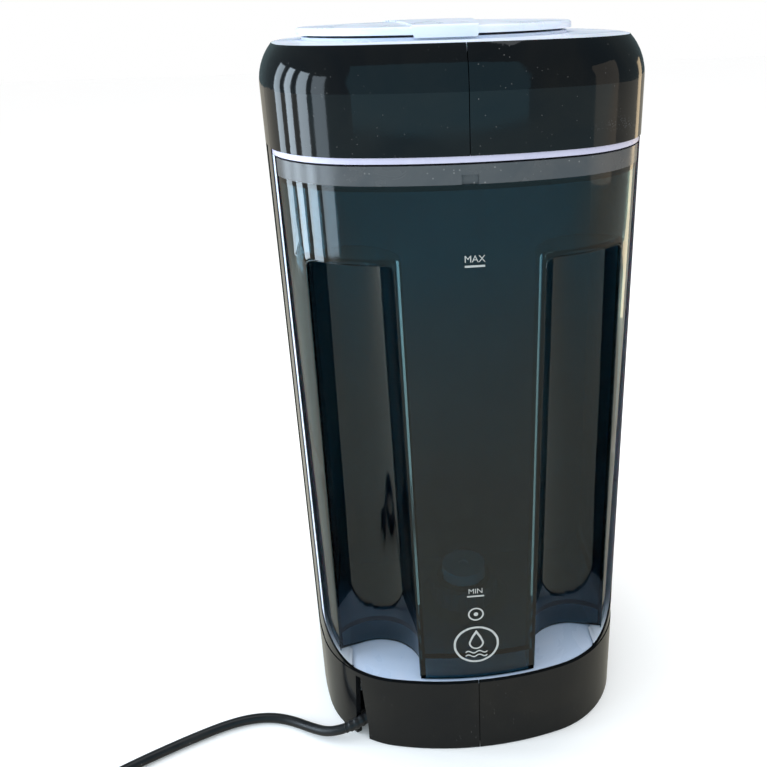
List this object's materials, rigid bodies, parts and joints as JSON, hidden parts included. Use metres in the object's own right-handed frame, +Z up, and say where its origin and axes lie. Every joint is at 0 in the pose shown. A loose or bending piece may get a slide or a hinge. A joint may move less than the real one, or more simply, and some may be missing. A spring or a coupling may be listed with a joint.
{
  "type": "cool mist humidifier",
  "caption": "Tower ultrasonic humidifier with a slide-out translucent water tank at the back, turning mist cap on top and a mains lead.",
  "frame": {"origin": "centre of the tower's footprint on the floor, under the feet", "axes": "+Z up, -Y out of the tank side, +Y out of the control side, +X to the right seen from the tank side"},
  "size_m": [0.3842, 0.3096, 0.4194],
  "materials": {
    "casing": "high gloss",
    "white": "satin gloss",
    "tank": "clear smoky",
    "tank_trim": "satin",
    "lens": "clear dark",
    "inner_white": "matte",
    "black_plastic": "matte",
    "rubber": "matte",
    "cord_black": "satin",
    "steel": "brushed",
    "pins": "polished",
    "brass": "satin",
    "aluminium": "satin",
    "board": "satin",
    "filter": "matte"
  },
  "bodies": {
    "base": {"casing_left": "casing", "casing_right": "casing", "bezel_left": "casing", "bezel_right": "casing", "front_panel": "casing", "top_deck": "white", "bay_tray": "white", "bay_wall_left": "white", "bay_wall_right": "white", "bay_back": "white", "bay_ceiling": "white", "display_window": "lens", "water_basin": "inner_white", "basin_cover": "inner_white", "mist_duct": "inner_white", "mist_plenum": "inner_white", "base_plate": "black_plastic", "fan_housing": "black_plastic", "feet": "rubber", "transducer_seal": "rubber", "cord_gland": "rubber", "cord": "cord_black", "cord_tail": "cord_black", "cord_coil": "cord_black", "plug_body": "cord_black", "base_screws": "steel", "transducer_screws": "steel", "fan_motor": "steel", "transformer": "steel", "plug_pins": "pins", "transducer_disc": "brass", "transducer_ring": "aluminium", "heat_sink": "aluminium", "capacitors": "aluminium", "power_board": "board", "driver_board": "board", "touch_board": "board", "air_filter": "filter"},
    "tank": {"tank_body": "tank", "tank_foot": "tank", "tank_cover": "tank_trim", "tank_seal": "rubber"},
    "tank_cap": {"tank_cap": "inner_white", "valve_cage": "inner_white", "valve_spring": "steel"},
    "valve": {"valve_plunger": "inner_white"},
    "cap_base": {"cap_base": "white"},
    "mist_cap": {"mist_cap": "white"},
    "water_float": {"water_float": "inner_white"},
    "fan_rotor": {"fan_rotor": "black_plastic"}
  },
  "joints": [
    {"name": "tank_slide", "type": "slide", "parent": "base", "child": "tank", "axis": [0, -1, 0], "range_m": [0, 0.25]},
    {"name": "tank_cap_turn", "type": "hinge", "parent": "tank", "child": "tank_cap", "pos_m": [0, -0.02, 0.059], "axis": [0, 0, 1], "range_deg": [0, 270]},
    {"name": "valve_lift", "type": "slide", "parent": "tank_cap", "child": "valve", "axis": [0, 0, 1], "range_m": [0, 0.004], "stiffness_N_per_m": 150, "springref_m": -0.002, "deforming": ["valve_spring"]},
    {"name": "cap_lift", "type": "slide", "parent": "base", "child": "cap_base", "axis": [0, 0, 1], "range_m": [0, 0.12]},
    {"name": "cap_turn", "type": "hinge", "parent": "cap_base", "child": "mist_cap", "pos_m": [-0.0055, 0.018, 0.4125], "axis": [0, 0, 1], "continuous": true},
    {"name": "float_rise", "type": "slide", "parent": "base", "child": "water_float", "axis": [0, 0, 1], "range_m": [0, 0.014]},
    {"name": "fan_spin", "type": "hinge", "parent": "base", "child": "fan_rotor", "pos_m": [0.058, 0.052, 0.0625], "axis": [0, 0, 1], "continuous": true}
  ]
}
